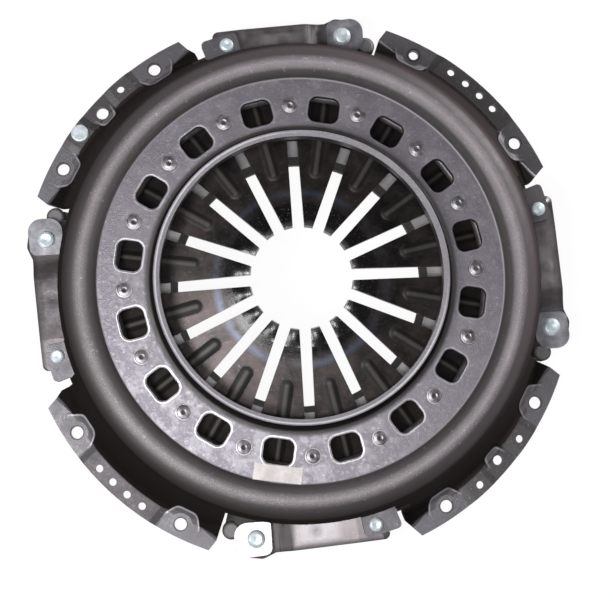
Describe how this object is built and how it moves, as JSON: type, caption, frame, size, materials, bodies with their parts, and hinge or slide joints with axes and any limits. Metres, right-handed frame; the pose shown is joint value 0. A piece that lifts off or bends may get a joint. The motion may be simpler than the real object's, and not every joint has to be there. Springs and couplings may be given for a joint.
{
  "type": "clutch pressure plate",
  "caption": "Push-type diaphragm-spring clutch cover assembly with pressed cover, cast pressure plate, tangential drive straps and a bolted flange.",
  "frame": {"origin": "on the clutch axis, in the plane of the flange pads that seat on the flywheel", "axes": "+Z along the clutch axis from the flywheel to the gearbox, towards the spring finger tips; +X through the middle of one drive strap bay"},
  "size_m": [0.4544, 0.4544, 0.079],
  "materials": {
    "cover_steel": "satin",
    "cast_plate": "machined",
    "spring_steel": "satin",
    "wire_steel": "satin",
    "cover_rivet_steel": "satin",
    "strap_steel": "satin",
    "keeper_steel": "satin",
    "zinc_steel": "satin",
    "balance_steel": "satin"
  },
  "bodies": {
    "cover": {"cover": "cover_steel", "upper_fulcrum_ring": "wire_steel", "lower_fulcrum_ring": "wire_steel", "fulcrum_rivets": "cover_rivet_steel", "drive_strap_1": "strap_steel", "drive_strap_2": "strap_steel", "drive_strap_3": "strap_steel", "drive_strap_4": "strap_steel", "shelf_rivets": "zinc_steel", "balance_rivet": "balance_steel"},
    "pressure_plate": {"pressure_plate": "cast_plate", "strap_keeper_1": "keeper_steel", "strap_keeper_2": "keeper_steel", "strap_keeper_3": "keeper_steel", "strap_keeper_4": "keeper_steel", "lug_rivets": "zinc_steel"},
    "finger_01": {"spring_finger_01": "spring_steel"},
    "finger_02": {"spring_finger_02": "spring_steel"},
    "finger_03": {"spring_finger_03": "spring_steel"},
    "finger_04": {"spring_finger_04": "spring_steel"},
    "finger_05": {"spring_finger_05": "spring_steel"},
    "finger_06": {"spring_finger_06": "spring_steel"},
    "finger_07": {"spring_finger_07": "spring_steel"},
    "finger_08": {"spring_finger_08": "spring_steel"},
    "finger_09": {"spring_finger_09": "spring_steel"},
    "finger_10": {"spring_finger_10": "spring_steel"},
    "finger_11": {"spring_finger_11": "spring_steel"},
    "finger_12": {"spring_finger_12": "spring_steel"},
    "finger_13": {"spring_finger_13": "spring_steel"},
    "finger_14": {"spring_finger_14": "spring_steel"},
    "finger_15": {"spring_finger_15": "spring_steel"},
    "finger_16": {"spring_finger_16": "spring_steel"}
  },
  "joints": [
    {"name": "plate_lift", "type": "slide", "parent": "cover", "child": "pressure_plate", "axis": [0, 0, 1], "range_m": [0, 0.007], "stiffness_N_per_m": 200000, "deforming": ["drive_strap_1", "drive_strap_2", "drive_strap_3", "drive_strap_4"]},
    {"name": "finger_01_tilt", "type": "hinge", "parent": "cover", "child": "finger_01", "pos_m": [0.14908, 0.02965, 0.04349], "axis": [0.1951, -0.9808, 0], "range_deg": [0, 14.3]},
    {"name": "finger_02_tilt", "type": "hinge", "parent": "cover", "child": "finger_02", "pos_m": [0.12638, 0.08445, 0.04349], "axis": [0.5556, -0.8315, 0], "range_deg": [0, 14.3]},
    {"name": "finger_03_tilt", "type": "hinge", "parent": "cover", "child": "finger_03", "pos_m": [0.08445, 0.12638, 0.04349], "axis": [0.8315, -0.5556, 0], "range_deg": [0, 14.3]},
    {"name": "finger_04_tilt", "type": "hinge", "parent": "cover", "child": "finger_04", "pos_m": [0.02965, 0.14908, 0.04349], "axis": [0.9808, -0.1951, 0], "range_deg": [0, 14.3]},
    {"name": "finger_05_tilt", "type": "hinge", "parent": "cover", "child": "finger_05", "pos_m": [-0.02965, 0.14908, 0.04349], "axis": [0.9808, 0.1951, 0], "range_deg": [0, 14.3]},
    {"name": "finger_06_tilt", "type": "hinge", "parent": "cover", "child": "finger_06", "pos_m": [-0.08445, 0.12638, 0.04349], "axis": [0.8315, 0.5556, 0], "range_deg": [0, 14.3]},
    {"name": "finger_07_tilt", "type": "hinge", "parent": "cover", "child": "finger_07", "pos_m": [-0.12638, 0.08445, 0.04349], "axis": [0.5556, 0.8315, 0], "range_deg": [0, 14.3]},
    {"name": "finger_08_tilt", "type": "hinge", "parent": "cover", "child": "finger_08", "pos_m": [-0.14908, 0.02965, 0.04349], "axis": [0.1951, 0.9808, 0], "range_deg": [0, 14.3]},
    {"name": "finger_09_tilt", "type": "hinge", "parent": "cover", "child": "finger_09", "pos_m": [-0.14908, -0.02965, 0.04349], "axis": [-0.1951, 0.9808, 0], "range_deg": [0, 14.3]},
    {"name": "finger_10_tilt", "type": "hinge", "parent": "cover", "child": "finger_10", "pos_m": [-0.12638, -0.08445, 0.04349], "axis": [-0.5556, 0.8315, 0], "range_deg": [0, 14.3]},
    {"name": "finger_11_tilt", "type": "hinge", "parent": "cover", "child": "finger_11", "pos_m": [-0.08445, -0.12638, 0.04349], "axis": [-0.8315, 0.5556, 0], "range_deg": [0, 14.3]},
    {"name": "finger_12_tilt", "type": "hinge", "parent": "cover", "child": "finger_12", "pos_m": [-0.02965, -0.14908, 0.04349], "axis": [-0.9808, 0.1951, 0], "range_deg": [0, 14.3]},
    {"name": "finger_13_tilt", "type": "hinge", "parent": "cover", "child": "finger_13", "pos_m": [0.02965, -0.14908, 0.04349], "axis": [-0.9808, -0.1951, 0], "range_deg": [0, 14.3]},
    {"name": "finger_14_tilt", "type": "hinge", "parent": "cover", "child": "finger_14", "pos_m": [0.08445, -0.12638, 0.04349], "axis": [-0.8315, -0.5556, 0], "range_deg": [0, 14.3]},
    {"name": "finger_15_tilt", "type": "hinge", "parent": "cover", "child": "finger_15", "pos_m": [0.12638, -0.08445, 0.04349], "axis": [-0.5556, -0.8315, 0], "range_deg": [0, 14.3]},
    {"name": "finger_16_tilt", "type": "hinge", "parent": "cover", "child": "finger_16", "pos_m": [0.14908, -0.02965, 0.04349], "axis": [-0.1951, -0.9808, 0], "range_deg": [0, 14.3]}
  ],
  "couplings": [
    {"joint": "finger_01_tilt", "follows": "plate_lift", "rad_per_m": 35.2},
    {"joint": "finger_02_tilt", "follows": "plate_lift", "rad_per_m": 35.2},
    {"joint": "finger_03_tilt", "follows": "plate_lift", "rad_per_m": 35.2},
    {"joint": "finger_04_tilt", "follows": "plate_lift", "rad_per_m": 35.2},
    {"joint": "finger_05_tilt", "follows": "plate_lift", "rad_per_m": 35.2},
    {"joint": "finger_06_tilt", "follows": "plate_lift", "rad_per_m": 35.2},
    {"joint": "finger_07_tilt", "follows": "plate_lift", "rad_per_m": 35.2},
    {"joint": "finger_08_tilt", "follows": "plate_lift", "rad_per_m": 35.2},
    {"joint": "finger_09_tilt", "follows": "plate_lift", "rad_per_m": 35.2},
    {"joint": "finger_10_tilt", "follows": "plate_lift", "rad_per_m": 35.2},
    {"joint": "finger_11_tilt", "follows": "plate_lift", "rad_per_m": 35.2},
    {"joint": "finger_12_tilt", "follows": "plate_lift", "rad_per_m": 35.2},
    {"joint": "finger_13_tilt", "follows": "plate_lift", "rad_per_m": 35.2},
    {"joint": "finger_14_tilt", "follows": "plate_lift", "rad_per_m": 35.2},
    {"joint": "finger_15_tilt", "follows": "plate_lift", "rad_per_m": 35.2},
    {"joint": "finger_16_tilt", "follows": "plate_lift", "rad_per_m": 35.2}
  ]
}
